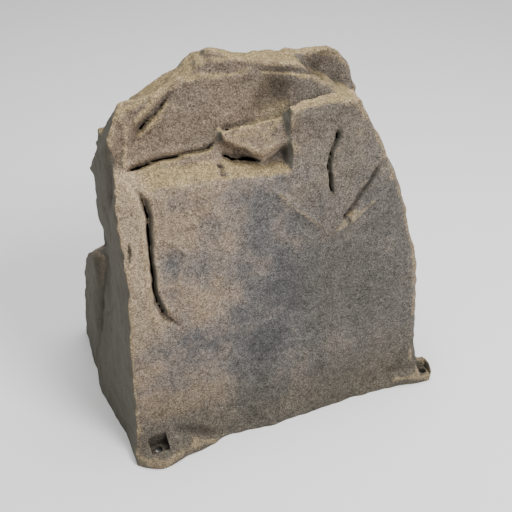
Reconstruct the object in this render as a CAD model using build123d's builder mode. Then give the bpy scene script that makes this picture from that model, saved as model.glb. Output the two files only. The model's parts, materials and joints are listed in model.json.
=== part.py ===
from build123d import *

import os
from math import asin, cos, degrees, radians, sin

# Hollow artificial-rock cover for pond pumps, filters and well heads, with its four ground stakes.
# The cover is one moulded shell, open at the base. It is described as a pile of convex rock blocks, each
# bounded by flat facets. The shell is the pile less the same pile with every facet moved in by the wall.
# Millimetres, +Z up, origin at the centre of the base, -Y the broad front face, -X the plain left side.

# --- driving dimensions of the shell ---
WIDTH = 722
DEPTH = 530
HEIGHT = 776
WALL = 6
HALF_WIDTH = WIDTH / 2
HALF_DEPTH = DEPTH / 2
STOCK = 2 * max(WIDTH, DEPTH, HEIGHT)
BELOW_BASE = -40
BLOCK_ROOT = 280
CROWN_ROOT = 505
PEAK_ROOT = 665

# --- stake pockets and holes, one at each corner of the base ---
HOLE_D = 16
HOLE_X = (-294, 345)
HOLE_Y = (-219, 241)
POCKET_X = (-293, 343)
POCKET_Y = (-222, 243)
POCKET_WIDTH = (40, 28)
POCKET_DEPTH = (32, 30)
POCKET_RADIUS = 4
POCKET_FLOOR = 18
POCKET_HEIGHT = 44

# --- ground stakes: round spikes with a forged head and a loose washer under it ---
STAKE_D = 9.5
STAKE_LENGTH = 250
STAKE_HEAD_D = 18
STAKE_HEAD_THICKNESS = 5
STAKE_POINT = 24
STAKE_TIP_D = 1.6
WASHER_OD = 20
WASHER_ID = 10.5
WASHER_THICKNESS = 2
STAKE_HEAD_X = (-266, 276)
STAKE_Y = (150, 186)

# --- compass headings of a facet's outward normal, in degrees ---
RIGHT = 0
BACK = 90
LEFT = 180
FRONT = -90

# --- the rock's main slopes, shared by several blocks: point on the facet, heading, rise of its normal ---
FRONT_FACE = (0, -225, 0, FRONT, 13)
FRONT_LEFT_TURN = (-150, -225, 0, FRONT - 4, 12)
FRONT_RIGHT_CORNER = (319, -208, 60, -48, 9)
RIGHT_LOW = (342, 0, 0, RIGHT, 3)
RIGHT_HIGH = (313, -110, 443, RIGHT - 6, 23)
LEFT_LOW = (-361, 14, 0, LEFT - 3, 10)
LEFT_LOW_FRONT = (-361, 14, 0, LEFT + 5, 7)
LEFT_HIGH = (-299, 0, 330, LEFT - 4, 1.5)
BACK_LOW = (0, 232, 0, BACK, 5)
BACK_HIGH = (0, 206, 300, BACK, 15)
CROWN_FRONT = (-90, -42, 606, FRONT - 2, 30)
SHOULDER_SIDE = (-295, -2, 663, LEFT + 31, 8)
CROWN_SIDE = (-299, 20, 600, LEFT - 4, 3)
CROWN_SIDE_BACK = (-270, 125, 603, LEFT - 20, 20)

# name: (height of the block's underside, its facets)
BLOCKS = {
    # the broad front mass, cut off at the top by the sloping ledge
    "body": (
        BELOW_BASE,
        [
            FRONT_FACE,
            FRONT_LEFT_TURN,
            FRONT_RIGHT_CORNER,
            RIGHT_LOW,
            RIGHT_HIGH,
            LEFT_HIGH,
            BACK_LOW,
            BACK_HIGH,
            (-100, -94, 568, FRONT + 6, 66),
            (0, 0, 622, BACK, 90),
        ],
    ),
    # the left side's lower part, which spreads towards the base
    "left_skirt": (
        BELOW_BASE,
        [
            FRONT_FACE,
            FRONT_LEFT_TURN,
            LEFT_LOW,
            LEFT_LOW_FRONT,
            BACK_LOW,
            (-200, 0, 400, BACK, 55),
            (-120, 0, 200, RIGHT, 10),
        ],
    ),
    # the upright slab at the front left corner
    "pillar": (
        BELOW_BASE,
        [
            (-300, -215, 0, FRONT - 4, 12),
            (-303, 0, 500, LEFT, 1),
            (-252, 0, 400, RIGHT, 2),
            (-275, -88, 593, RIGHT, 23),
            (-290, -84, 599, BACK + 20, 30),
            (0, -20, 400, BACK, 5),
        ],
    ),
    # the slab on the right, standing above the ledge and carrying the front face up
    "right_slab": (
        BLOCK_ROOT,
        [
            FRONT_FACE,
            FRONT_RIGHT_CORNER,
            RIGHT_LOW,
            RIGHT_HIGH,
            (60, -71, 640, LEFT + 12, 8),
            (126, -68, 681, FRONT + 4, 74),
            (120, -32, 680, BACK + 6, 25),
            BACK_LOW,
        ],
    ),
    # the loose-looking brick between the ledge and the right slab, overhanging the ledge
    "brick": (
        BLOCK_ROOT,
        [
            (-3, -86, 600, FRONT - 4, 40),
            (0, -37, 658, BACK, 40),
            (-3, -86, 600, FRONT - 40, -35),
            (-3, -86, 600, FRONT + 22, -30),
            (-78, -60, 650, LEFT + 6, 6),
            (110, 0, 600, RIGHT, 0),
            (0, 40, 500, BACK, 0),
        ],
    ),
    # the crown behind the ledge
    "crown": (
        CROWN_ROOT,
        [
            CROWN_FRONT,
            (17, 36, 748, RIGHT, 79),
            (121, 21, 728, RIGHT, 56),
            (-110, 44, 744, BACK + 40, 56),
            SHOULDER_SIDE,
            CROWN_SIDE,
            CROWN_SIDE_BACK,
            (0, 78, 745, BACK, 45),
            BACK_HIGH,
            RIGHT_LOW,
            RIGHT_HIGH,
        ],
    ),
    # the crown's peak, towards its left end
    "peak": (
        PEAK_ROOT,
        [
            CROWN_FRONT,
            (-67, 59, HEIGHT, RIGHT, 66),
            (-67, 59, HEIGHT, LEFT, 55),
            (-67, 62, HEIGHT, BACK, 48),
            BACK_HIGH,
        ],
    ),
    # the crown's lower shoulder on the left
    "shoulder": (
        CROWN_ROOT,
        [
            (-90, -40, 606, FRONT - 4, 30),
            (-225, 24, 719, LEFT, 80),
            (-263, 24, 709, LEFT, 36),
            SHOULDER_SIDE,
            CROWN_SIDE,
            CROWN_SIDE_BACK,
            (0, 34, 714, BACK, 44),
            BACK_HIGH,
            (-60, 0, 600, RIGHT, 0),
        ],
    ),
    # the chunk behind the crown's right end
    "rear_chunk": (
        CROWN_ROOT,
        [
            (150, 50, 700, FRONT + 3, 8),
            (109, 79, 736, RIGHT, 82),
            (224, 83, 715, RIGHT - 8, 46),
            (270, 79, 635, RIGHT - 8, 15),
            (109, 82, 736, BACK, 42),
            (96, 60, 700, LEFT, 14),
            BACK_HIGH,
            RIGHT_LOW,
        ],
    ),
    # the low lump at the back of the left side
    "left_lump": (
        BELOW_BASE,
        [
            (-357, 100, 0, LEFT - 2, 5),
            (-331, 200, 256, BACK + 15, 66),
            (-346, 96, 100, FRONT - 30, 4),
            (0, 234, 0, BACK, 3),
            (-346, 224, 100, BACK + 38, 4),
            (-180, 0, 200, RIGHT, 8),
        ],
    ),
    # two broad bulges on the back, one low and one high
    "back_low_bulge": (
        BELOW_BASE,
        [
            (60, 243, 0, BACK - 3, 4),
            (220, 228, 100, BACK - 40, 8),
            (130, 220, 330, BACK, 58),
            (-140, 228, 100, BACK + 38, 12),
            LEFT_LOW,
            RIGHT_LOW,
            (0, 0, 200, FRONT, 0),
        ],
    ),
    "back_high_bulge": (
        BLOCK_ROOT,
        [
            (-60, 196, 400, BACK + 4, 12),
            (-196, 186, 400, BACK + 46, 14),
            (70, 180, 470, BACK - 42, 16),
            (-80, 166, 590, BACK, 48),
            (-20, 206, 330, BACK, -48),
            LEFT_HIGH,
            RIGHT_HIGH,
            (0, 110, 400, FRONT, 0),
        ],
    ),
}

# name of each foot at the front: its facets, a short upright lip and slopes that run up into the walls
FEET = {
    "left": [
        (-296, -HALF_DEPTH, 0, FRONT + 13, 0),
        (-296, -HALF_DEPTH, 0, FRONT - 30, 0),
        (-346, -216, 0, LEFT, 2),
        (-296, -HALF_DEPTH, 12, FRONT, 57),
        (-342, -238, 14, FRONT - 44, 57),
        (-190, -238, 20, RIGHT, 68),
        (-200, -160, 0, BACK, 0),
    ],
    "right": [
        (357, -238, 0, FRONT - 3, 0),
        (HALF_WIDTH, -216, 0, RIGHT, 0),
        (357, -238, 22, FRONT, 52),
        (HALF_WIDTH, -216, 36, RIGHT, 43),
        (HALF_WIDTH, -190, 0, BACK, 14),
        (HALF_WIDTH, -232, 0, -50, 0),
        (230, -200, 30, LEFT, 60),
    ],
}


def normal_of(heading, rise):
    """Unit outward normal of a facet from its compass heading and its rise above the horizontal."""
    flat = cos(radians(rise))
    return Vector(flat * cos(radians(heading)), flat * sin(radians(heading)), sin(radians(rise)))


def rock_block(underside, facets, inset=0):
    """A convex block cut from stock by its facets, with them and its underside moved inwards by the inset."""
    with BuildPart() as block:
        with Locations((0, 0, underside + inset)):
            Box(STOCK, STOCK, STOCK, align=(Align.CENTER, Align.CENTER, Align.MIN))
        for x, y, z, heading, rise in facets:
            outward = normal_of(heading, rise)
            facet_plane = Plane(origin=Vector(x, y, z) - outward * inset, z_dir=outward)
            split(bisect_by=facet_plane, keep=Keep.BOTTOM)
    return block.part


def corners():
    """For each corner of the base: its row and column, 0 for front or left, and the words that name it."""
    for row, row_name in enumerate(("front", "rear")):
        for column, column_name in enumerate(("left", "right")):
            yield row, column, f"{row_name}_{column_name}"


def foot_facets(row, column):
    """The foot of one corner. The rear feet mirror the front ones, drawn in to the rear holes' line."""
    facets = FEET[("left", "right")[column]]
    if row == 0:
        return facets
    rearward = (0, HALF_DEPTH - 238)[column]
    return [(x, rearward - y, z, -heading, rise) for x, y, z, heading, rise in facets]


def pocket_sketch(row, column, margin=0):
    """A stake pocket's outline with rounded corners, grown on every side by the margin."""
    with BuildSketch(mode=Mode.PRIVATE) as outline:
        with Locations((POCKET_X[column], POCKET_Y[row])):
            RectangleRounded(
                POCKET_WIDTH[column] + 2 * margin,
                POCKET_DEPTH[row] + 2 * margin,
                POCKET_RADIUS + margin,
            )
    return outline.sketch


def pile(inset, underside=None):
    """Every block and foot joined, with all facets moved in by the inset."""
    with BuildPart() as rock:
        for block_underside, facets in BLOCKS.values():
            add(rock_block(block_underside, facets, inset))
        for row, column, _ in corners():
            add(rock_block(BELOW_BASE, foot_facets(row, column), inset))
        if underside is not None:
            split(bisect_by=Plane.XY.offset(underside), keep=Keep.TOP)
    return rock.part


def make_hollow():
    """The space inside the shell: the inset pile less the material round each stake pocket."""
    with BuildPart() as hollow:
        add(pile(WALL))
        for row, column, _ in corners():
            with BuildSketch(Plane.XY.offset(POCKET_FLOOR - WALL)):
                add(pocket_sketch(row, column, WALL))
            extrude(amount=POCKET_HEIGHT + 2 * WALL, mode=Mode.SUBTRACT)
    return hollow.part


def make_shell():
    """The moulded cover: outer rock, stake pockets, hollow inside and stake holes."""
    with BuildPart() as shell:
        add(pile(0, underside=0))
        for row, column, _ in corners():
            with BuildSketch(Plane.XY.offset(POCKET_FLOOR)):
                add(pocket_sketch(row, column))
            extrude(amount=POCKET_HEIGHT, mode=Mode.SUBTRACT)
        add(make_hollow(), mode=Mode.SUBTRACT)
        for row, column, _ in corners():
            with BuildSketch(Plane.XY):
                with Locations((HOLE_X[column], HOLE_Y[row])):
                    Circle(HOLE_D / 2)
            extrude(amount=POCKET_FLOOR, mode=Mode.SUBTRACT)
    return shell.part


# --- a stake lies on the ground: its washer holds the head up and its shank rests near the point ---
HEAD_FOOT = STAKE_LENGTH - STAKE_HEAD_THICKNESS
GRIP = HEAD_FOOT - WASHER_THICKNESS / 2
STAKE_TILT = degrees(asin((WASHER_OD - STAKE_D) / 2 / (GRIP - STAKE_POINT)))


def lying_plane(head_x, y):
    """The work plane of a stake that lies along X with its head outwards: point at its origin, +Z to the head."""
    outward = 1 if head_x > 0 else -1
    lean = Vector(outward * cos(radians(STAKE_TILT)), 0, sin(radians(STAKE_TILT)))
    washer_low = WASHER_THICKNESS / 2 * sin(radians(STAKE_TILT))
    washer_z = WASHER_OD / 2 * cos(radians(STAKE_TILT)) + washer_low
    return Plane(origin=Vector(head_x, y, washer_z) - lean * GRIP, x_dir=(0, 1, 0), z_dir=lean)


def make_stake(lying):
    """A spike: cone point, round shank and a flat head with a rounded rim."""
    upwards = (Align.CENTER, Align.CENTER, Align.MIN)
    with BuildPart(lying) as stake:
        Cone(STAKE_TIP_D / 2, STAKE_D / 2, STAKE_POINT, align=upwards)
        with Locations((0, 0, STAKE_POINT)):
            Cylinder(STAKE_D / 2, HEAD_FOOT - STAKE_POINT, align=upwards)
        with Locations((0, 0, HEAD_FOOT)):
            Cylinder(STAKE_HEAD_D / 2, STAKE_HEAD_THICKNESS, align=upwards)
        crown_rim = stake.edges().group_by(Axis(lying.origin, lying.z_dir))[-1]
        fillet(crown_rim, STAKE_HEAD_THICKNESS / 2)
    return stake.part


def make_washer(lying):
    """The flat washer close under the stake's head."""
    with BuildPart() as washer:
        with BuildSketch(lying.offset(GRIP - WASHER_THICKNESS / 2)):
            Circle(WASHER_OD / 2)
            Circle(WASHER_ID / 2, mode=Mode.SUBTRACT)
        extrude(amount=WASHER_THICKNESS)
    return washer.part


def write(part, name):
    """Labels a finished piece and writes it to its own file."""
    part.label = name
    export_step(part, f"parts/{name}.step")


def main():
    os.makedirs("parts", exist_ok=True)
    write(make_shell(), "rock_shell")
    for row, column, name in corners():
        lying = lying_plane(STAKE_HEAD_X[column], STAKE_Y[row])
        write(make_stake(lying), f"ground_stake_{name}")
        write(make_washer(lying), f"stake_washer_{name}")


main()
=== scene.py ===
import json
import math

import bmesh
import bpy
import numpy as np
import openvdb as vdb
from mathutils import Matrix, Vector


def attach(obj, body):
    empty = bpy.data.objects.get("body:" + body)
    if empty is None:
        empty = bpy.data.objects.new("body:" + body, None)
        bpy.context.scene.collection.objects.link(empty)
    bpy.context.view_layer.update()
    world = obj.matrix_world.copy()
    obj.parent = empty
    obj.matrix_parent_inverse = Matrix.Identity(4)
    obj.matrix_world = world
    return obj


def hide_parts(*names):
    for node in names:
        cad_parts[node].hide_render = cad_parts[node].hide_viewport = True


# Hollow artificial-rock cover round its CAD frame: the rock's skin is grown from the CAD shell as a
# distance field that is worn, chipped and cracked, then meshed. Metres, +Z up, -Y the broad front.

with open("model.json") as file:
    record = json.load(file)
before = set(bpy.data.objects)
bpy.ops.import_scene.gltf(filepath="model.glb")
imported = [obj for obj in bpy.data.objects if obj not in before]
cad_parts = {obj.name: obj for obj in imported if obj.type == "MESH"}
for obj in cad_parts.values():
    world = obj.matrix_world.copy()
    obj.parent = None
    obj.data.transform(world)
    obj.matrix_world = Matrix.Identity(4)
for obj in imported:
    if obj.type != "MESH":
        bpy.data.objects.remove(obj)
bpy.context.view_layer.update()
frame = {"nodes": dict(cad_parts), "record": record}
MM = 0.001

SHELL = frame["nodes"]["rock_shell"]
WALL = 6 * MM
SEED = 20

# The distance field: its voxel, how far it reaches from the skin, and the room left round the object.
VOXEL = 4.0 * MM
BAND = 40 * MM
ROOM = 24 * MM

# The shell goes on below the ground as a skirt, and a tiled block then cuts it off at the ground.
SKIRT = 36 * MM
GROUND_HALF = 0.5
GROUND_TILES = 50

# Tolerances for telling the CAD shell's faces and edges apart.
WELD = 0.01 * MM
AT_GROUND = 0.05 * MM
ON_HOLE_WALL = 0.3 * MM
ON_POCKET_END = 0.1 * MM


def outer_skin(obj):
    """The outside surface of the CAD shell, closed by a skirt below the ground, as points and triangles."""
    bm = bmesh.new()
    bm.from_mesh(obj.data)
    bmesh.ops.remove_doubles(bm, verts=bm.verts, dist=WELD)
    rim = [f for f in bm.faces if all(v.co.z < AT_GROUND for v in f.verts)]
    holes = [f for f in bm.faces if in_stake_hole(f) or in_pocket(f)]
    bmesh.ops.delete(bm, geom=list(set(rim + holes)), context="FACES")
    top = max(bm.verts, key=lambda v: v.co.z)
    keep = {top}
    front = [top]
    while front:
        reached = {e.other_vert(v) for v in front for e in v.link_edges} - keep
        keep |= reached
        front = list(reached)
    bmesh.ops.delete(bm, geom=[v for v in bm.verts if v not in keep], context="VERTS")
    open_edges = [e for e in bm.edges if e.is_boundary]
    floor_edges = [e for e in open_edges if all(v.co.z < AT_GROUND for v in e.verts)]
    hole_edges = [e for e in open_edges if e not in set(floor_edges)]
    bmesh.ops.holes_fill(bm, edges=hole_edges, sides=0)
    skirt = bmesh.ops.extrude_edge_only(bm, edges=floor_edges)["geom"]
    skirt_verts = [g for g in skirt if isinstance(g, bmesh.types.BMVert)]
    bmesh.ops.translate(bm, verts=skirt_verts, vec=(0, 0, -SKIRT))
    lowest = [e for e in bm.edges if e.is_boundary]
    bmesh.ops.triangle_fill(bm, edges=lowest, use_beauty=True)
    bmesh.ops.triangulate(bm, faces=bm.faces)
    bmesh.ops.recalc_face_normals(bm, faces=bm.faces)
    left_open = sum(not e.is_manifold for e in bm.edges)
    if left_open:
        print("outer_skin: edges that aren't manifold:", left_open)
    points = np.array([v.co for v in bm.verts], dtype=np.float32)
    for i, v in enumerate(bm.verts):
        v.index = i
    tris = np.array([[v.index for v in f.verts] for f in bm.faces], dtype=np.uint32)
    bm.free()
    return points, tris


def openings(word):
    """Boxes of the record's openings whose name starts with the word, as {name: (low, high)} arrays."""
    found = frame["record"]["physics"]["openings"]
    return {o["name"]: np.array(o["box_m"]) for o in found if o["name"].startswith(word)}


# Stake pockets and holes, found in the frame from the record's openings. The visual pocket is cut a little
# wider than its opening, and a face of the CAD pocket lies within the slack of it.
POCKETS = openings("pocket")
HOLES = {name: box.mean(axis=0) for name, box in openings("stake_hole").items()}
HOLE_R = 8 * MM
POCKET_GROW = 1.5 * MM
POCKET_SLACK = 1.8 * MM
POCKET_CORNER = 4 * MM
POCKET_TOP = 62 * MM
POCKET_FLOOR = 18 * MM
HOLE_BOTTOM = -20 * MM
HOLE_TOP = POCKET_FLOOR + 10 * MM


def in_stake_hole(face):
    """True for a face of the CAD shell that belongs to the wall of a stake hole."""
    for centre in HOLES.values():
        if all(abs(math.dist(v.co[:2], centre[:2]) - HOLE_R) < ON_HOLE_WALL for v in face.verts):
            return True
    return False


def in_pocket(face):
    """True for a face of the CAD shell that belongs to a stake pocket's walls, floor or roof."""
    for box in POCKETS.values():
        low = box[0] - POCKET_SLACK
        high = box[1] + POCKET_SLACK
        low[2] = POCKET_FLOOR - ON_POCKET_END
        high[2] = POCKET_TOP + ON_POCKET_END
        if all(np.all(np.array(v.co) > low) and np.all(np.array(v.co) < high) for v in face.verts):
            return True
    return False


class Grid:
    """A dense block of voxels that covers the object, with its level set of the CAD shell's outside."""

    def __init__(self, points, tris):
        low = points.min(axis=0) - ROOM
        high = points.max(axis=0) + ROOM
        self.first = np.floor(low / VOXEL).astype(int)
        self.shape = tuple(np.ceil((high - low) / VOXEL).astype(int) + 1)
        level = vdb.FloatGrid.createLevelSetFromPolygons(
            points,
            triangles=tris,
            transform=vdb.createLinearTransform(voxelSize=VOXEL),
            halfWidth=BAND / VOXEL,
        )
        self.field = np.zeros(self.shape, dtype=np.float32)
        level.copyToArray(self.field, ijk=tuple(int(i) for i in self.first))

    def axes(self):
        """The three coordinates of the voxels along each axis, in metres."""
        return [(self.first[i] + np.arange(self.shape[i])) * VOXEL for i in range(3)]

    def mesh(self, field, step=1):
        """Points, triangles and quads of the field's zero surface, from every step-th voxel."""
        coarse = np.ascontiguousarray(field[::step, ::step, ::step])
        grid = vdb.FloatGrid(BAND)
        grid.transform = vdb.createLinearTransform(voxelSize=VOXEL * step)
        grid.copyFromArray(coarse)
        points, tris, quads = grid.convertToPolygons(isovalue=0.0)
        return points + (self.first * VOXEL).astype(np.float32), tris, quads

    def sample(self, field, points):
        """The field's value at points, by trilinear interpolation."""
        at = points / VOXEL - self.first
        at = np.clip(at, 0, np.array(self.shape) - 1.001)
        cell = np.floor(at).astype(int)
        part = (at - cell).astype(np.float32)
        total = np.zeros(len(points), dtype=np.float32)
        for corner in range(8):
            step = [(corner >> i) & 1 for i in range(3)]
            weight = np.ones(len(points), dtype=np.float32)
            for i in range(3):
                weight *= part[:, i] if step[i] else 1 - part[:, i]
            total += weight * field[cell[:, 0] + step[0], cell[:, 1] + step[1], cell[:, 2] + step[2]]
        return total


def spline_weights(coordinates, size, count):
    """Matrix of cubic B-spline weights that spreads a lattice of the given cell size over coordinates."""
    at = (coordinates - coordinates[0]) / size + 1
    cell = np.floor(at).astype(int)
    t = at - cell
    weights = np.zeros((len(coordinates), count), dtype=np.float32)
    rows = np.arange(len(coordinates))
    weights[rows, cell - 1] += (1 - t) ** 3 / 6
    weights[rows, cell] += (3 * t**3 - 6 * t**2 + 4) / 6
    weights[rows, cell + 1] += (-3 * t**3 + 3 * t**2 + 3 * t + 1) / 6
    weights[rows, cell + 2] += t**3 / 6
    return weights


# Brings the lattice's smoothed values back to about unit spread.
NOISE_GAIN = 3.2


def smooth_noise(axes, sizes, seed):
    """Smooth random field of about unit spread over the axes, with the given cell size along each axis."""
    counts = [int((a[-1] - a[0]) / s) + 5 for a, s in zip(axes, sizes)]
    lattice = np.random.default_rng(seed).uniform(-1, 1, counts).astype(np.float32)
    weights = [spline_weights(a, s, c) for a, s, c in zip(axes, sizes, counts)]
    out = np.einsum("ai,ijk->ajk", weights[0], lattice, optimize=True)
    out = np.einsum("bj,ajk->abk", weights[1], out, optimize=True)
    out = np.einsum("ck,abk->abc", weights[2], out, optimize=True)
    return out * NOISE_GAIN


def blur(field, radius):
    """Box blur of the field, twice along each axis."""
    for axis in (0, 1, 2, 0, 1, 2):
        margins = [(radius + 1, radius) if i == axis else (0, 0) for i in range(3)]
        padded = np.pad(field, margins, mode="edge")
        total = np.cumsum(padded, axis=axis, dtype=np.float64)
        n = field.shape[axis]
        high = np.take(total, np.arange(2 * radius + 1, 2 * radius + 1 + n), axis=axis)
        low = np.take(total, np.arange(n), axis=axis)
        field = ((high - low) / (2 * radius + 1)).astype(np.float32)
    return field


def box_distance(mesh_axes, low, high):
    """Signed distance to a box over the grid, as an array that broadcasts."""
    x, y, z = mesh_axes
    dx = np.maximum(low[0] - x, x - high[0])
    dy = np.maximum(low[1] - y, y - high[1])
    dz = np.maximum(low[2] - z, z - high[2])
    outside = np.sqrt(np.maximum(dx, 0) ** 2 + np.maximum(dy, 0) ** 2 + np.maximum(dz, 0) ** 2)
    inside = np.minimum(np.maximum(np.maximum(dx, dy), dz), 0)
    return outside + inside


def smoothstep(low, high, value):
    """0 below low, 1 above high, and an easy slope between."""
    t = np.clip((value - low) / (high - low), 0, 1)
    return t * t * (3 - 2 * t)


# Lines on the rock's skin, as (half width, depth, points) in mm. A groove's depth is above 0 and a
# ridge's is below. The points were picked by eye, many of them were put onto the CAD shell by a scratch
# ray cast, and the rest were set by hand.
LINES = {
    "pillar_crack": (
        9,
        9,
        [
            (-266, -73, 585), (-250, -96, 561), (-246, -103, 530), (-250, -115, 480), (-255, -134, 395),
            (-252, -143, 350), (-238, -152, 315), (-212, -165, 290),
        ],
    ),
    "pillar_edge": (
        9,
        -2.5,
        [
            (-283, -88, 590), (-268, -96, 560), (-262, -108, 510), (-266, -124, 440), (-268, -145, 350),
            (-262, -165, 290),
        ],
    ),
    "ledge_crack": (
        7,
        9,
        [
            (-272, -45, 598), (-234, -38, 604), (-190, -37, 609), (-147, -38, 610), (-103, -38, 613),
            (-84, -36, 624),
        ],
    ),
    "brick_back": (
        6,
        6,
        [
            (-72, -32, 640), (-33, -30, 661), (8, -28, 666),
        ],
    ),
    "brick_foot": (
        8,
        8,
        [
            (-76, -50, 602), (-53, -56, 588), (-27, -62, 582), (-5, -74, 580),
        ],
    ),
    "ledge_hook": (
        5.5,
        7,
        [
            (-90, -57, 586), (-79, -64, 580), (-84, -79, 574), (-74, -84, 572),
        ],
    ),
    "face_crack": (
        6.5,
        8,
        [
            (160, -80, 628), (157, -85, 605), (141, -91, 581), (134, -98, 551), (137, -106, 516),
            (143, -113, 484),
        ],
    ),
    "right_fold": (
        10,
        7,
        [
            (250, -101, 539), (228, -107, 512), (204, -114, 481), (184, -120, 456), (163, -123, 440),
        ],
    ),
    "right_hook": (
        5.5,
        6,
        [
            (166, -121, 446), (161, -124, 436), (175, -127, 426),
        ],
    ),
    "left_fold": (
        12,
        -4,
        [
            (11, -102, 532), (44, -111, 494), (75, -117, 466), (106, -125, 434), (129, -131, 409),
        ],
    ),
    "low_fold": (
        12,
        -4,
        [
            (129, -131, 409), (159, -127, 425), (203, -121, 449), (238, -117, 466),
        ],
    ),
    "vein": (
        7,
        -8,
        [
            (-120, 38, 740), (-135, 30, 728), (-165, 23, 713), (-195, 13, 695), (-222, 4, 677),
            (-244, -6, 660),
        ],
    ),
    "vein_groove": (
        7,
        6,
        [
            (-150, 20, 712), (-178, 8, 693), (-205, 0, 676), (-232, -8, 655),
        ],
    ),
    "vein_loop": (
        6,
        -6,
        [
            (-183, 4, 688), (-186, -2, 676), (-205, -6, 664), (-236, -14, 646),
        ],
    ),
    "crown_lip": (
        9,
        -3,
        [
            (-70, 45, 757), (-30, 40, 752), (9, 35, 745), (49, 30, 740), (97, 24, 732),
        ],
    ),
    "crown_undercut": (
        9,
        6,
        [
            (30, 24, 732), (60, 18, 724), (100, 14, 718), (140, 20, 704), (175, 10, 690),
        ],
    ),
    "crown_second": (
        12,
        -3.5,
        [
            (-143, 28, 724), (-89, 25, 726), (-35, 22, 722), (-4, 22, 725), (28, 26, 733),
        ],
    ),
    "crown_side": (
        11,
        -5,
        [
            (-257, 28, 709), (-250, -3, 664), (-262, -30, 620), (-270, -42, 602),
        ],
    ),
    "chunk_crack": (
        6.5,
        7,
        [
            (130, 40, 722), (155, 32, 706), (182, 24, 688),
        ],
    ),
    "hollow_edge": (
        9,
        -3.5,
        [
            (-223, -118, 478), (-198, -121, 462), (-183, -125, 444), (-187, -128, 420),
            (-202, -134, 395), (-213, -142, 365),
        ],
    ),
    "side_hook": (
        5,
        4,
        [
            (-292, -108, 490), (-294, -116, 455), (-299, -124, 430),
        ],
    ),
    "side_crack": (
        4.5,
        3,
        [
            (-331, 91, 151), (-326, 50, 190), (-320, 10, 232), (-314, -26, 278),
        ],
    ),
}

# How the lines are drawn, in mm where it is a length. The gains multiply the depth of every groove
# and ridge, and a line fades out between the two heights off its path.
GROOVE_GAIN = 1.5
RIDGE_GAIN = 1.35
LINE_ROOM = 30
WANDER_CELL = 22
WANDER = 2.2
WIDTH_CELL = 30
WIDTH_SPREAD = 0.3
FADE_RATE = 7
FADE_START = 0.15
LINE_HEIGHTS = (16, 26)

# Broad dents (depth above 0) and swellings (below 0), as (radius, depth, centre) in mm.
DENTS = {
    "notch": (30, 16, (66, 2, 686)),
    "notch_left": (18, 8, (24, -2, 676)),
    "cap_recess": (26, 10, (165, 34, 708)),
    "pillar_dent": (34, 7, (-215, -125, 440)),
    "pillar_dent_low": (26, 4, (-228, -140, 360)),
    "slab_dent": (40, 6, (180, -105, 520)),
    "slab_dent_high": (30, -5, (190, -86, 610)),
    "crown_dent": (60, 5, (-30, 0, 670)),
    "crown_side_dent": (40, 7, (-235, -15, 640)),
    "face_swell": (120, -5, (-60, -150, 330)),
    "right_swell": (70, -4, (250, -165, 260)),
    "right_dent": (60, 6, (290, -150, 400)),
}


def gradient_at(grid, field, points):
    """The field's unit outward direction at points."""
    step = 2 * VOXEL
    shifts = np.eye(3, dtype=np.float32) * step
    slopes = [grid.sample(field, points + s) - grid.sample(field, points - s) for s in shifts]
    slopes = np.stack(slopes, axis=1)
    return slopes / np.linalg.norm(slopes, axis=1, keepdims=True)


def distance_along_skin(points, path, normals):
    """Distance from a path measured along the skin, the height off it, and the place along it from 0 to 1."""
    best = np.full(len(points), np.inf, dtype=np.float32)
    along = np.zeros(len(points), dtype=np.float32)
    height = np.zeros(len(points), dtype=np.float32)
    legs = len(path) - 1
    for i in range(legs):
        a, leg = path[i], path[i + 1] - path[i]
        t = np.clip((points - a) @ leg / (leg @ leg), 0, 1)[:, None]
        off = points - a - t * leg
        normal = normals[i] + t * (normals[i + 1] - normals[i])
        normal /= np.linalg.norm(normal, axis=1, keepdims=True)
        up = np.sum(off * normal, axis=1)
        d = np.linalg.norm(off - up[:, None] * normal, axis=1)
        closer = d < best
        best[closer] = d[closer]
        along[closer] = (i + t[closer, 0]) / legs
        height[closer] = up[closer]
    return best, height, along


def span_round(axes, path):
    """The part of each axis that lies near a path, as slices."""
    low = path.min(axis=0) - LINE_ROOM * MM
    high = path.max(axis=0) + LINE_ROOM * MM
    ends = [(np.searchsorted(axes[i], low[i]), np.searchsorted(axes[i], high[i])) for i in range(3)]
    return tuple(slice(int(first), int(last)) for first, last in ends)


def draw_lines(grid, field, smooth):
    """Presses each line into the skin, or raises it, with a wandering course and a swelling width."""
    axes = grid.axes()
    for number, (half_width, depth, path_mm) in enumerate(LINES.values()):
        path = np.array(path_mm) * MM
        normals = gradient_at(grid, smooth, path)
        span = span_round(axes, path)
        part_axes = [a[s] for a, s in zip(axes, span)]
        points = np.stack([m.ravel() for m in np.meshgrid(*part_axes, indexing="ij")], axis=1)
        seed = SEED + 50 + number * 4
        for i in range(3):
            points[:, i] += smooth_noise(part_axes, [WANDER_CELL * MM] * 3, seed + i).ravel() * WANDER * MM
        swell = WIDTH_SPREAD * smooth_noise(part_axes, [WIDTH_CELL * MM] * 3, seed + 3).ravel()
        width = half_width * MM * (1 + swell)
        d, height, along = distance_along_skin(points, path, normals)
        fade = np.clip(np.minimum(along, 1 - along) * FADE_RATE + FADE_START, 0, 1)
        reach = 1 - smoothstep(LINE_HEIGHTS[0] * MM, LINE_HEIGHTS[1] * MM, np.abs(height))
        depth *= GROOVE_GAIN if depth > 0 else RIDGE_GAIN
        press = np.clip(1 - d / (width * (0.5 + 0.5 * fade)), 0, 1) * fade * reach * depth * MM
        field[span] += press.reshape(field[span].shape)


def press_dents(axes, field):
    """Presses each broad dent into the field, or swells it."""
    x, y, z = np.meshgrid(*axes, indexing="ij", sparse=True)
    for radius, depth, centre in DENTS.values():
        cx, cy, cz = (c * MM for c in centre)
        far = ((x - cx) ** 2 + (y - cy) ** 2 + (z - cz) ** 2) / (radius * MM) ** 2
        field += depth * MM * np.exp(-far)


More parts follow.
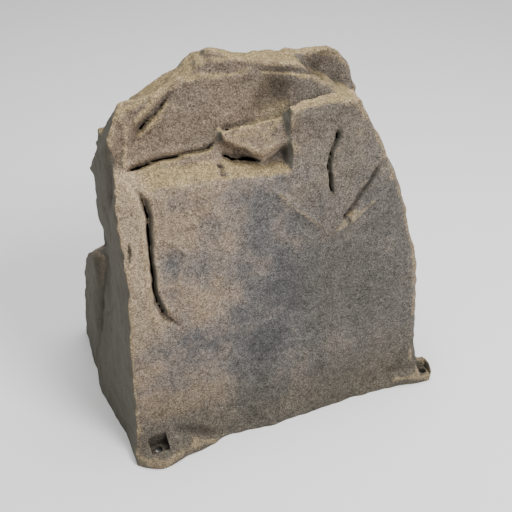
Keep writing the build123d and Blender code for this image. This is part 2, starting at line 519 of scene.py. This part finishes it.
# Warps of the CAD shell, as (scale, reach) in mm, and how far from the skin they act.
WARPS = ((120, 5.0), (45, 1.8), (18, 1.3))
WARP_BAND = 30 * MM


def warped(grid, field, calm):
    """The field with its straight edges made to wander."""
    axes = grid.axes()
    band = np.abs(field) < WARP_BAND
    at = np.nonzero(band)
    points = np.stack([axes[i][at[i]] for i in range(3)], axis=1).astype(np.float32)
    for number, (scale, reach) in enumerate(WARPS):
        for i in range(3):
            shift = smooth_noise(axes, [scale * MM] * 3, SEED + 10 + number * 3 + i)
            points[:, i] += (shift * calm)[band] * reach * MM
    out = field.copy()
    out[band] = grid.sample(field, points)
    return out


# Even roughness of the skin, coarse to fine, as (cell, height) in mm.
LAYERS = {"bulges": (90, 3.0), "lumps": (34, 0.7), "chips": (14, 0.75), "grain": (8, 0.6)}
FOLD_CELLS = (58, 58, 44)
FOLD_LEVEL = 0.45
FOLD_HEIGHT = 2.2
BITE_CELL = 22
BITE_DEPTH = 3.2
EDGE_SHARPNESS = 2.5 * MM
EDGE_BLUR = 3

# The skin is calm within the first distance of a pocket and fully rough past the second.
CALM = (4 * MM, 45 * MM)


def weather(grid):
    """Turns the CAD shell's flat facets into worn, chipped stone."""
    axes = grid.axes()
    x, y, z = np.meshgrid(*axes, indexing="ij", sparse=True)
    calm = np.ones(grid.shape, dtype=np.float32)
    for box in POCKETS.values():
        near = box_distance((x, y, z), box[0], box[1])
        calm = np.minimum(calm, smoothstep(*CALM, near))
    field = warped(grid, grid.field, calm)
    smooth = blur(field, EDGE_BLUR)
    edge = np.clip((smooth - field) / EDGE_SHARPNESS, 0, 1)
    relief = 0
    for number, (cell, height) in enumerate(LAYERS.values()):
        relief = relief + smooth_noise(axes, [cell * MM] * 3, SEED + 1 + number) * height * MM
    ridges = np.abs(smooth_noise(axes, [cell * MM for cell in FOLD_CELLS], SEED + 5))
    relief += (np.clip(ridges, 0, 1) - FOLD_LEVEL) * FOLD_HEIGHT * MM
    relief += np.abs(smooth_noise(axes, [BITE_CELL * MM] * 3, SEED + 6)) * BITE_DEPTH * MM * edge
    press_dents(axes, field)
    field += relief * calm
    draw_lines(grid, field, smooth)
    return field


def new_object(name, points, faces):
    """A mesh object in the scene, from points and faces."""
    mesh = bpy.data.meshes.new(name)
    mesh.from_pydata([tuple(p) for p in points], [], [tuple(int(i) for i in f) for f in faces])
    mesh.update()
    obj = bpy.data.objects.new(name, mesh)
    bpy.context.scene.collection.objects.link(obj)
    return obj


def mesh_object(name, points, tris, quads):
    """An object from openvdb's points, triangles and quads."""
    return new_object(name, points, list(tris) + list(quads))


def prism(name, outline, low, high):
    """An upright prism over an outline, as a cutter."""
    n = len(outline)
    points = [(px, py, low) for px, py in outline] + [(px, py, high) for px, py in outline]
    faces = [tuple(range(n))[::-1], tuple(range(n, 2 * n))]
    faces += [(i, (i + 1) % n, n + (i + 1) % n, n + i) for i in range(n)]
    return new_object(name, points, faces)


def rounded_outline(low, high, radius, steps=6):
    """A rectangle with round corners, as points round it from its high corner."""
    corners = (
        (high[0] - radius, high[1] - radius, 0),
        (low[0] + radius, high[1] - radius, 90),
        (low[0] + radius, low[1] + radius, 180),
        (high[0] - radius, low[1] + radius, 270),
    )
    outline = []
    for cx, cy, start in corners:
        for i in range(steps + 1):
            turn = math.radians(start + 90 * i / steps)
            outline.append((cx + radius * math.cos(turn), cy + radius * math.sin(turn)))
    return outline


def circle_outline(cx, cy, radius, steps=40):
    """Points round a circle."""
    turns = [2 * math.pi * i / steps for i in range(steps)]
    return [(cx + radius * math.cos(t), cy + radius * math.sin(t)) for t in turns]


def cut(obj, cutters):
    """Cuts the cutters from the object and removes them."""
    for cutter in cutters:
        change = obj.modifiers.new("cut", "BOOLEAN")
        change.operation = "DIFFERENCE"
        change.solver = "MANIFOLD"
        change.object = cutter
    graph = bpy.context.evaluated_depsgraph_get()
    result = bpy.data.meshes.new_from_object(obj.evaluated_get(graph))
    obj.modifiers.clear()
    obj.data = result
    for cutter in cutters:
        bpy.data.objects.remove(cutter)


def ground_block():
    """A block whose top is the ground, in small tiles so that the rim it cuts has no sprawling faces."""
    count = GROUND_TILES + 1
    line = np.linspace(-GROUND_HALF, GROUND_HALF, count)
    points = [(x, y, z) for z in (0, -GROUND_HALF) for y in line for x in line]
    tiles = [
        (row * count + i, row * count + i + 1, (row + 1) * count + i + 1, (row + 1) * count + i)
        for row in range(GROUND_TILES)
        for i in range(GROUND_TILES)
    ]
    below = count * count
    base = [tuple(v + below for v in tile[::-1]) for tile in tiles]
    last = GROUND_TILES
    front = list(range(count))
    right = [i * count + last for i in range(count)]
    back = [last * count + i for i in range(count)][::-1]
    left = [i * count for i in range(count)][::-1]
    sides = [
        (side[i], side[i] + below, side[i + 1] + below, side[i + 1])
        for side in (front, right, back, left)
        for i in range(GROUND_TILES)
    ]
    return new_object("ground_cutter", points, tiles + base + sides)


# The hollow is cut from a blurred copy of the field, meshed at every second voxel. The blur takes out
# the grooves, so the deepest grooves go through the wall.
HOLLOW_BLUR = 2
HOLLOW_STEP = 2
CAVITY_BLUR = 3
SHARP_ANGLE = 48


def hollow_field(grid, field):
    """The inside of the wall, kept clear of the pockets."""
    mesh_axes = np.meshgrid(*grid.axes(), indexing="ij", sparse=True)
    hollow = blur(field, HOLLOW_BLUR) + WALL
    for box in POCKETS.values():
        low = box[0] - POCKET_GROW - WALL
        high = box[1] + POCKET_GROW + WALL
        low[2] = POCKET_FLOOR - WALL
        high[2] = POCKET_TOP + WALL
        hollow = np.maximum(hollow, -box_distance(mesh_axes, low, high))
    return hollow


def opening_cutters():
    """A cutter for each pocket and each stake hole."""
    cutters = []
    for name, box in POCKETS.items():
        outline = rounded_outline(box[0] - POCKET_GROW, box[1] + POCKET_GROW, POCKET_CORNER)
        cutters.append(prism(name + "_cutter", outline, POCKET_FLOOR, POCKET_TOP))
    for name, centre in HOLES.items():
        outline = circle_outline(centre[0], centre[1], HOLE_R)
        cutters.append(prism(name + "_cutter", outline, HOLE_BOTTOM, HOLE_TOP))
    return cutters


def note_cavities(mesh, grid, field):
    """Stores on each vertex how far it stands out of the smoothed skin (above 0) or lies in it, in mm."""
    co = np.empty(len(mesh.vertices) * 3, dtype=np.float32)
    mesh.vertices.foreach_get("co", co)
    cavity = mesh.attributes.new("cavity", "FLOAT", "POINT")
    cavity.data.foreach_set("value", grid.sample(blur(field, CAVITY_BLUR), co.reshape(-1, 3)) / MM)


def rock_shell():
    """The weathered rock as one hollow shell, open at the ground, with its pockets and stake holes."""
    grid = Grid(*outer_skin(SHELL))
    field = weather(grid)
    rock = mesh_object("rock_cover", *grid.mesh(field))
    inside = mesh_object("hollow", *grid.mesh(hollow_field(grid, field), step=HOLLOW_STEP))
    cut(rock, [inside, *opening_cutters(), ground_block()])
    note_cavities(rock.data, grid, field)
    rock.data.shade_smooth()
    rock.data.set_sharp_from_angle(angle=math.radians(SHARP_ANGLE))
    return rock


def rgb(hex_code):
    """Linear colour from an sRGB hex code."""
    values = [int(hex_code[i : i + 2], 16) / 255 for i in (0, 2, 4)]
    return tuple(v / 12.92 if v <= 0.04045 else ((v + 0.055) / 1.055) ** 2.4 for v in values) + (1,)


# Sockets of Blender's Mix node when it mixes colours.
MIX_A, MIX_B, MIX_RESULT = 6, 7, 2


class Nodes:
    """Short calls for building a material's nodes. Each returns the new node's output."""

    def __init__(self, name):
        self.material = bpy.data.materials.new(name)
        self.material.use_nodes = True
        self.tree = self.material.node_tree
        self.shader = self.tree.nodes["Principled BSDF"]
        self.place = self.tree.nodes.new("ShaderNodeTexCoord").outputs

    def link(self, value, socket):
        """Links an output to a socket, or sets the socket to a plain value."""
        if isinstance(value, bpy.types.NodeSocket):
            self.tree.links.new(value, socket)
        else:
            socket.default_value = value

    def noise(self, scale, detail, rough):
        node = self.tree.nodes.new("ShaderNodeTexNoise")
        node.inputs["Scale"].default_value = scale
        node.inputs["Detail"].default_value = detail
        node.inputs["Roughness"].default_value = rough
        self.link(self.place["Object"], node.inputs["Vector"])
        return node.outputs["Fac"]

    def cells(self, scale):
        """A random value for each small cell of the material."""
        node = self.tree.nodes.new("ShaderNodeTexVoronoi")
        node.inputs["Scale"].default_value = scale
        self.link(self.place["Object"], node.inputs["Vector"])
        split = self.tree.nodes.new("ShaderNodeSeparateColor")
        self.link(node.outputs["Color"], split.inputs["Color"])
        return split.outputs["Red"]

    def math(self, kind, a, b):
        node = self.tree.nodes.new("ShaderNodeMath")
        node.operation = kind
        self.link(a, node.inputs[0])
        self.link(b, node.inputs[1])
        return node.outputs[0]

    def range(self, value, low, high, to_low=0.0, to_high=1.0):
        """Eases from to_low, at low, to to_high, at high."""
        node = self.tree.nodes.new("ShaderNodeMapRange")
        node.interpolation_type = "SMOOTHSTEP"
        for item, socket in zip((value, low, high, to_low, to_high), node.inputs):
            self.link(item, socket)
        return node.outputs["Result"]

    def mix(self, factor, a, b):
        node = self.tree.nodes.new("ShaderNodeMix")
        node.data_type = "RGBA"
        self.link(factor, node.inputs["Factor"])
        self.link(a, node.inputs[MIX_A])
        self.link(b, node.inputs[MIX_B])
        return node.outputs[MIX_RESULT]

    def ramp(self, value, *stops):
        """A colour ramp through stops of (position, colour)."""
        node = self.tree.nodes.new("ShaderNodeValToRGB")
        points = node.color_ramp.elements
        while len(points) < len(stops):
            points.new(0.5)
        for point, (position, colour) in zip(points, stops):
            point.position = position
            point.color = colour
        self.link(value, node.inputs["Fac"])
        return node.outputs["Color"]

    def axis(self, output, which):
        """One axis of a texture coordinate, such as the Z of Object."""
        split = self.tree.nodes.new("ShaderNodeSeparateXYZ")
        self.link(self.place[output], split.inputs[0])
        return split.outputs[which]

    def distance_from(self, point):
        node = self.tree.nodes.new("ShaderNodeVectorMath")
        node.operation = "DISTANCE"
        self.link(self.place["Object"], node.inputs[0])
        node.inputs[1].default_value = point
        return node.outputs["Value"]

    def scale_colour(self, colour, factor):
        node = self.tree.nodes.new("ShaderNodeVectorMath")
        node.operation = "SCALE"
        self.link(colour, node.inputs[0])
        self.link(factor, node.inputs["Scale"])
        return node.outputs[0]

    def attribute(self, name):
        node = self.tree.nodes.new("ShaderNodeAttribute")
        node.attribute_name = name
        return node.outputs["Fac"]

    def bump(self, height, distance, strength, normal=None):
        node = self.tree.nodes.new("ShaderNodeBump")
        node.inputs["Strength"].default_value = strength
        node.inputs["Distance"].default_value = distance
        self.link(height, node.inputs["Height"])
        if normal is not None:
            self.link(normal, node.inputs["Normal"])
        return node.outputs["Normal"]


# The stone's colours, from dark to light for its body, then for the places that differ from it, most of them
# painted shade.
STONE = ((0.22, "464544"), (0.38, "555250"), (0.54, "6e645b"), (0.7, "7d6d5c"))
CROWN_PAINTED_SHADE = "5c4f42"
RIGHT_PAINTED_SHADE = "555049"
LEDGE_TAN_AND_TOP_LIGHT = "80704f"
PILLAR = "95836d"
FOOT_PAINTED_SHADE = "494439"
LEFT_SIDE_PAINTED_SHADE = "56544b"
WORN_EDGE = "8f7d60"
GROOVE_PAINTED_SHADE = "2f2a24"
RECESS_PAINTED_SHADE = "332b20"

# The painted shade low on the front right, darkest at its centre, and the painted shade in the recesses under
# the crown, as (centre, reach).
PAINTED_SHADE_CENTRE = (0.16, -0.17, 0.2)
PAINTED_RECESS_SHADES = (((0.062, 0.0, 0.69), 0.052), ((0.165, 0.03, 0.71), 0.045), ((0.02, -0.01, 0.672), 0.03))


def stone_regions(n, left):
    """The stone's colour before its speckle: patches with painted shade low on the front right, then painted
    shade on the crown and right face, ledge tan partly painted top light, the pillar, and painted shade on
    the foot and left side.
    """
    across = n.axis("Object", "X")
    height = n.axis("Object", "Z")
    patches = n.noise(5.5, 3, 0.55)
    blotches = n.noise(16, 4, 0.6)
    tone = n.math("ADD", patches, n.math("MULTIPLY", n.math("SUBTRACT", blotches, 0.5), 0.7))
    # Painted shade: the stone is darker near the centre low on the front right and lighter away from it.
    tone = n.math("ADD", tone, n.range(n.distance_from(PAINTED_SHADE_CENTRE), 0.1, 0.45, -0.2, 0.08))
    base = n.ramp(tone, *((position, rgb(code)) for position, code in STONE))
    # Painted shade: darker brown over the crown, from 0.56 m up.
    base = n.mix(n.math("MULTIPLY", n.range(height, 0.56, 0.64), 0.8), base, rgb(CROWN_PAINTED_SHADE))
    # Painted shade: darker grey on the right of the front, past x = 0.
    base = n.mix(n.math("MULTIPLY", n.range(across, 0.0, 0.12), 0.6), base, rgb(RIGHT_PAINTED_SHADE))
    # Tan on upward faces, partly the ledges' own tan and partly painted top light.
    facing_up = n.range(n.axis("Normal", "Z"), 0.55, 0.9)
    base = n.mix(n.math("MULTIPLY", facing_up, n.range(height, 0.2, 0.5, 0.0, 0.85)), base, rgb(LEDGE_TAN_AND_TOP_LIGHT))
    pillar = n.math("MULTIPLY", n.range(across, -0.225, -0.262), n.range(height, 0.2, 0.45, 0.0, 0.75))
    base = n.mix(n.math("MULTIPLY", pillar, n.range(height, 0.63, 0.59)), base, rgb(PILLAR))
    # Painted shade: darker towards the ground.
    base = n.mix(n.range(height, 0.2, 0.02, 0.0, 0.7), base, rgb(FOOT_PAINTED_SHADE))
    # Painted shade: the left side darker olive-grey.
    return n.mix(n.math("MULTIPLY", left, 0.9), base, rgb(LEFT_SIDE_PAINTED_SHADE))


def stone_wear_and_shade(n, base, left):
    """Pale worn edges, painted shade in the grooves, and painted shade in the recesses."""
    cavity = n.attribute("cavity")
    # Fewer pale edges on the left side, where shade is painted.
    wear = n.math("MULTIPLY", n.range(cavity, 1.6, 4.2, 0.0, 0.5), n.range(left, 0.0, 1.0, 1.0, 0.1))
    base = n.mix(wear, base, rgb(WORN_EDGE))
    # Painted shade in the grooves and hollows, darker the deeper they lie.
    base = n.mix(n.range(cavity, -0.8, -4.5, 0.0, 0.65), base, rgb(GROOVE_PAINTED_SHADE))
    # Painted shade in the recesses under the crown.
    for centre, reach in PAINTED_RECESS_SHADES:
        base = n.mix(n.range(n.distance_from(centre), reach, reach * 0.4, 0.0, 0.6), base, rgb(RECESS_PAINTED_SHADE))
    return base


def stone_speckle(n, left):
    """Brightness of the speckle round 0.94, weaker on the left side, where shade is painted."""
    fine = n.cells(600)
    small = n.cells(380)
    specks = n.math("ADD", n.range(fine, 0.6, 0.85, 0.0, 0.75), n.range(small, 0.72, 0.9, 0.0, 0.45))
    darks = n.math("ADD", n.range(fine, 0.34, 0.12, 0.0, 0.3), n.range(small, 0.28, 0.1, 0.0, 0.24))
    mottle = n.range(n.noise(75, 3, 0.6), 0.35, 0.65, -0.14, 0.14)
    grain = n.math("ADD", n.math("SUBTRACT", specks, darks), mottle)
    return n.math("ADD", n.math("MULTIPLY", grain, n.range(left, 0, 1, 1.0, 0.2)), 0.94)


def stone_material():
    """Speckled, weathered stone finish."""
    n = Nodes("speckled_stone")
    # The left-side mask: faces turned to the left and a lump at the back left, where shade is painted.
    lump = n.math(
        "MULTIPLY",
        n.range(n.axis("Object", "X"), -0.3, -0.32),
        n.range(n.axis("Object", "Y"), 0.0, 0.06),
    )
    left = n.math("MAXIMUM", n.range(n.axis("Normal", "X"), -0.45, -0.85), lump)
    base = stone_wear_and_shade(n, stone_regions(n, left), left)
    n.link(n.scale_colour(base, stone_speckle(n, left)), n.shader.inputs["Base Color"])
    n.shader.inputs["Roughness"].default_value = 0.85
    n.shader.inputs["Specular IOR Level"].default_value = 0.25
    rough = n.noise(300, 4, 0.7)
    pits = n.noise(80, 4, 0.6)
    chips = n.noise(32, 5, 0.6)
    relief = n.math("ADD", n.math("MULTIPLY", rough, 0.5), pits)
    fine_normal = n.bump(relief, 1.8 * MM, 0.9)
    n.link(n.bump(chips, 6 * MM, 0.7, fine_normal), n.shader.inputs["Normal"])
    return n.material


def steel_material():
    """Galvanised steel with its crystal patches."""
    n = Nodes("galvanised_steel")
    patches = n.cells(160)
    cloud = n.noise(60, 4, 0.6)
    tone = n.math("ADD", n.math("MULTIPLY", patches, 0.5), n.math("MULTIPLY", cloud, 0.5))
    colour = n.ramp(tone, (0.2, rgb("8c9092")), (0.8, rgb("b9bdbe")))
    n.link(colour, n.shader.inputs["Base Color"])
    n.shader.inputs["Metallic"].default_value = 1.0
    n.link(n.range(tone, 0.2, 0.8, 0.32, 0.5), n.shader.inputs["Roughness"])
    n.link(n.bump(cloud, 0.2 * MM, 0.5), n.shader.inputs["Normal"])
    return n.material


# Lamps as (name, place, width, power), the point they aim at, and the floor.
LIGHTS = (
    ("key", (1.0, -1.8, 2.7), 1.2, 100),
    ("top", (0.2, 0.3, 3.0), 1.8, 70),
)
LIGHT_TARGET = (0, 0, 0.35)
FLOOR_HALF = 6
FLOOR_DROP = 0.4 * MM


def floor_and_light():
    """A pale floor just under the ground, a white surround and two round lamps."""
    ends = ((-1, -1), (1, -1), (1, 1), (-1, 1))
    floor = new_object("floor", [(x * FLOOR_HALF, y * FLOOR_HALF, 0) for x, y in ends], [(0, 1, 2, 3)])
    floor.location.z = -FLOOR_DROP
    n = Nodes("pale_floor")
    n.shader.inputs["Base Color"].default_value = (0.9, 0.9, 0.9, 1)
    n.shader.inputs["Roughness"].default_value = 0.9
    floor.data.materials.append(n.material)
    world = bpy.data.worlds.new("studio")
    bpy.context.scene.world = world
    world.use_nodes = True
    world.node_tree.nodes["Background"].inputs["Color"].default_value = (1, 1, 1, 1)
    world.node_tree.nodes["Background"].inputs["Strength"].default_value = 0.5
    for name, place, size, power in LIGHTS:
        lamp = bpy.data.lights.new(name, "AREA")
        lamp.shape = "DISK"
        lamp.size = size
        lamp.energy = power
        obj = bpy.data.objects.new(name, lamp)
        obj.location = place
        aim = Vector(LIGHT_TARGET) - Vector(place)
        obj.rotation_euler = aim.to_track_quat("-Z", "Y").to_euler()
        bpy.context.scene.collection.objects.link(obj)


# The photograph's camera, found by fitting the base corners and upright edges. Angles in degrees, and
# the lens's length over the picture's width.
AZIMUTH = -21.7
ELEVATION = 37.2
DISTANCE = 1.95
TARGET = (0.001, -0.035, 0.32)
SENSOR = 36
LENS_RATIO = 900 / 512


def camera():
    """The camera that matches the photograph's view."""
    data = bpy.data.cameras.new("camera")
    data.sensor_width = SENSOR
    data.lens = LENS_RATIO * SENSOR
    obj = bpy.data.objects.new("camera", data)
    turn, rise = math.radians(AZIMUTH), math.radians(ELEVATION)
    back = Vector((math.sin(turn) * math.cos(rise), -math.cos(turn) * math.cos(rise), math.sin(rise)))
    obj.location = Vector(TARGET) + back * DISTANCE
    obj.rotation_euler = (-back).to_track_quat("-Z", "Y").to_euler()
    bpy.context.scene.collection.objects.link(obj)
    bpy.context.scene.camera = obj


rock = rock_shell()
stone = stone_material()
rock.data.materials.clear()
rock.data.materials.append(stone)
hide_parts("rock_shell")
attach(rock, "cover")
steel = steel_material()
for name, node in frame["nodes"].items():
    for slot in node.material_slots:
        slot.material = stone if name == "rock_shell" else steel
floor_and_light()
camera()
